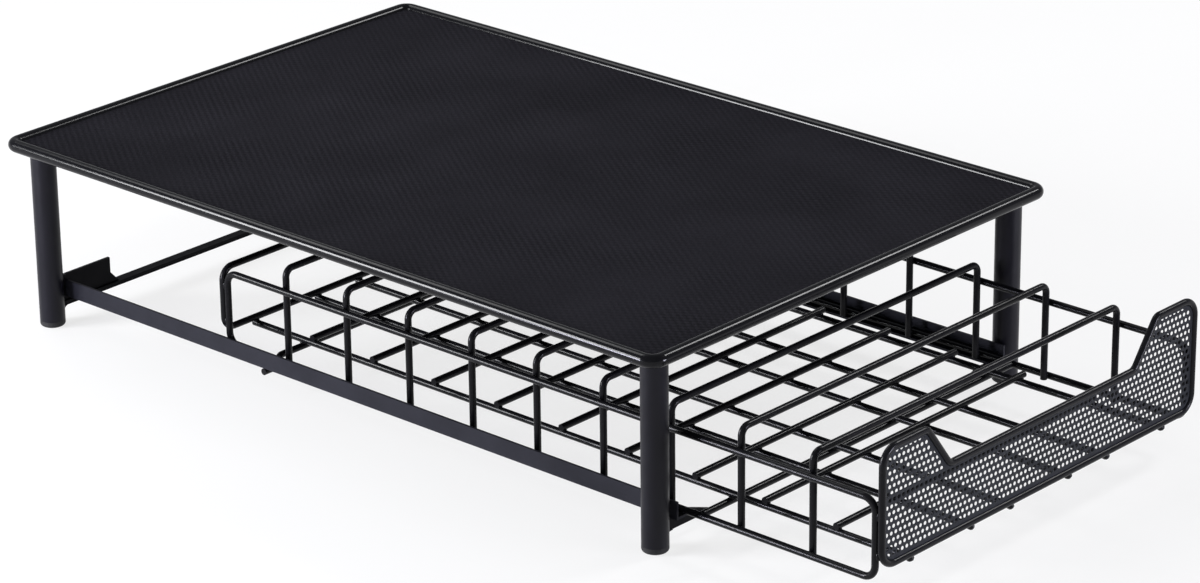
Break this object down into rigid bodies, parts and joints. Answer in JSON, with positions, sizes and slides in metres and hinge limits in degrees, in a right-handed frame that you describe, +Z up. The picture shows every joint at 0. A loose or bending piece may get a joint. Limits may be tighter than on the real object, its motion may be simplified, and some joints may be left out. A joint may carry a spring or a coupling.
{
  "type": "coffee pod drawer",
  "caption": "Low black steel stand with a wire drawer under its top that slides out at the front and holds upright drink capsules in rows.",
  "frame": {"origin": "middle of the whole part's outline on the surface it stands on", "axes": "+X to the right seen from the front, +Y to the rear, away from the drawer front, +Z up"},
  "size_m": [0.27, 0.509, 0.0951],
  "materials": {
    "deck": "matt charcoal powder coat with a very fine raised grain",
    "rim": "gloss black",
    "legs": "satin black",
    "feet": "matt black plastic",
    "rails": "satin dark blue-grey",
    "brackets": "satin black",
    "wire": "satin to gloss black coating",
    "front_rim": "satin to gloss black coating",
    "mesh": "satin black coated mesh"
  },
  "bodies": {
    "stand": {"top_plate": "deck", "top_rim": "rim", "leg_front_left": "legs", "leg_front_right": "legs", "leg_rear_left": "legs", "leg_rear_right": "legs", "foot_front_left": "feet", "foot_front_right": "feet", "foot_rear_left": "feet", "foot_rear_right": "feet", "cross_member": "brackets", "bracket_front_left": "brackets", "bracket_front_right": "brackets", "bracket_rear_left": "brackets", "bracket_rear_right": "brackets", "rail_left": "rails", "rail_right": "rails"},
    "drawer": {"side_loop_left": "wire", "side_loop_right": "wire", "rear_frame": "wire", "front_frame": "front_rim", "front_mesh": "mesh", "anti_tip_wire": "wire", "front_support_wire": "wire", "floor_wire_1": "wire", "floor_wire_2": "wire", "floor_wire_3": "wire", "floor_wire_4": "wire", "floor_wire_5": "wire", "floor_wire_6": "wire", "hoop_1": "wire", "hoop_2": "wire", "hoop_3": "wire", "hoop_4": "wire", "hoop_5": "wire", "hoop_6": "wire", "hoop_7": "wire", "hoop_8": "wire", "hoop_9": "wire", "floor_rod_1": "wire", "floor_rod_2": "wire", "floor_rod_3": "wire", "floor_rod_4": "wire", "floor_rod_5": "wire", "floor_rod_6": "wire", "floor_rod_7": "wire", "floor_rod_8": "wire", "floor_rod_9": "wire"}
  },
  "joints": [
    {"name": "drawer_slide", "type": "slide", "parent": "stand", "child": "drawer", "axis": [0, -1, 0], "range_m": [-0.103, 0.24315]}
  ]
}
